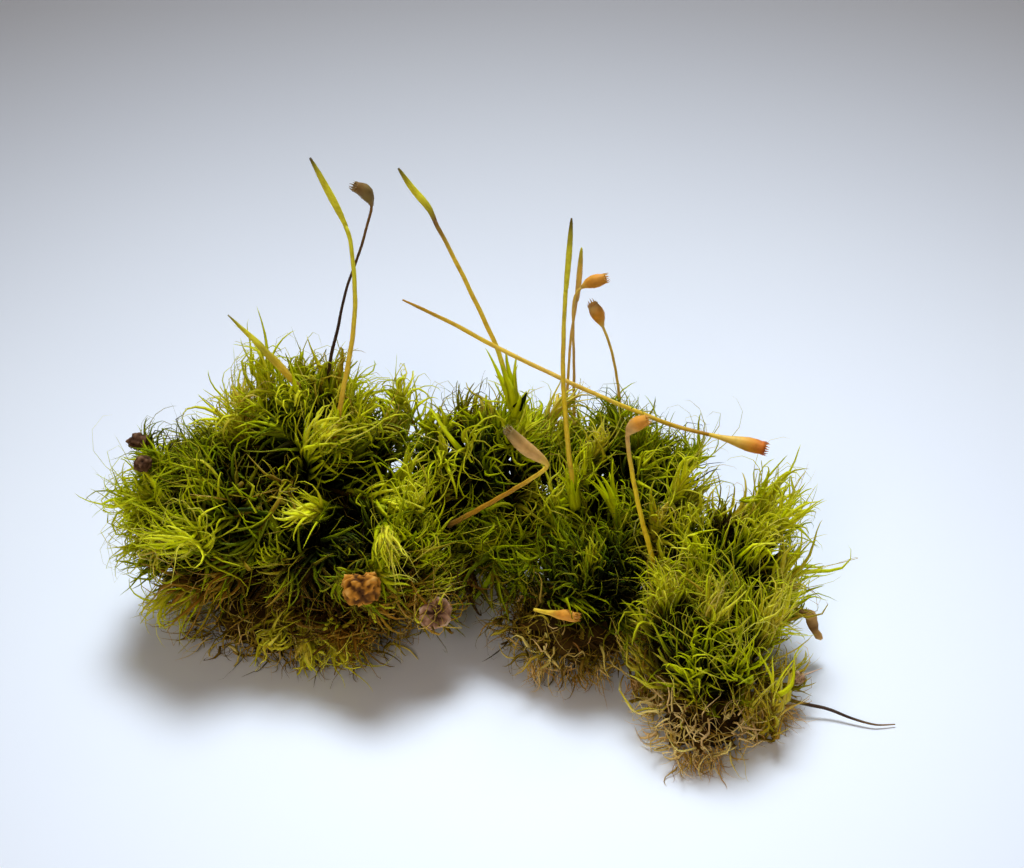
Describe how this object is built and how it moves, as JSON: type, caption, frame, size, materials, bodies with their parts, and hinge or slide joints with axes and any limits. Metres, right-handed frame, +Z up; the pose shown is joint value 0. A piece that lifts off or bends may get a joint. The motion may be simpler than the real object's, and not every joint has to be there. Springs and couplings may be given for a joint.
{
  "type": "moss clump",
  "caption": "Picked clump of curly green fork moss with brown root felt below and thin spore stalks carrying green hoods and orange capsules, lying on its flat underside.",
  "frame": {"origin": "centre of the whole clump's box, on the surface that it rests on", "axes": "+X along the clump from its broad left mass to its right end, +Z up, -Y towards the side that the picture shows"},
  "size_m": [0.0414, 0.0222, 0.0245],
  "materials": {
    "moss_leaf": "thin curled leaves, yellow-green at the tips and dark green inside",
    "root_felt": "matted brown root threads with soil",
    "green_stalk": "smooth, satin",
    "golden_stalk": "smooth, satin",
    "dark_stem": "smooth, satin",
    "green_hood": "smooth, satin",
    "orange_capsule": "dry, finely ribbed",
    "brown_capsule": "dry, wrinkled",
    "bark": "dry, rough"
  },
  "bodies": {
    "root": {"tuft_left": "moss_leaf", "tuft_left_top": "moss_leaf", "tuft_left_front": "moss_leaf", "tuft_middle": "moss_leaf", "tuft_middle_front": "moss_leaf", "tuft_right_back": "moss_leaf", "tuft_right": "moss_leaf", "tuft_right_front": "moss_leaf", "root_felt_left": "root_felt", "root_felt_middle": "root_felt", "root_felt_right": "root_felt", "young_stalk_left": "green_stalk", "young_hood_left": "green_hood", "dark_stalk": "dark_stem", "dark_capsule": "brown_capsule", "young_stalk_middle": "golden_stalk", "young_hood_middle": "green_hood", "young_stalk_right": "green_stalk", "young_hood_right": "green_hood", "fallen_stalk": "golden_stalk", "fallen_capsule": "orange_capsule", "back_stalk_tall": "golden_stalk", "back_capsule_tall": "orange_capsule", "back_stalk_low": "golden_stalk", "back_capsule_low": "orange_capsule", "back_young_stalk": "golden_stalk", "back_young_hood": "green_hood", "nodding_stalk": "golden_stalk", "nodding_capsule": "orange_capsule", "bent_stalk": "golden_stalk", "bent_capsule": "brown_capsule", "short_hood": "green_hood", "loose_capsule": "orange_capsule", "bark_scrap": "bark", "husk": "bark", "brown_lump_upper": "bark", "brown_lump_lower": "bark", "brown_bud": "bark", "curled_scrap": "bark", "dark_stem": "dark_stem"}
  },
  "joints": []
}
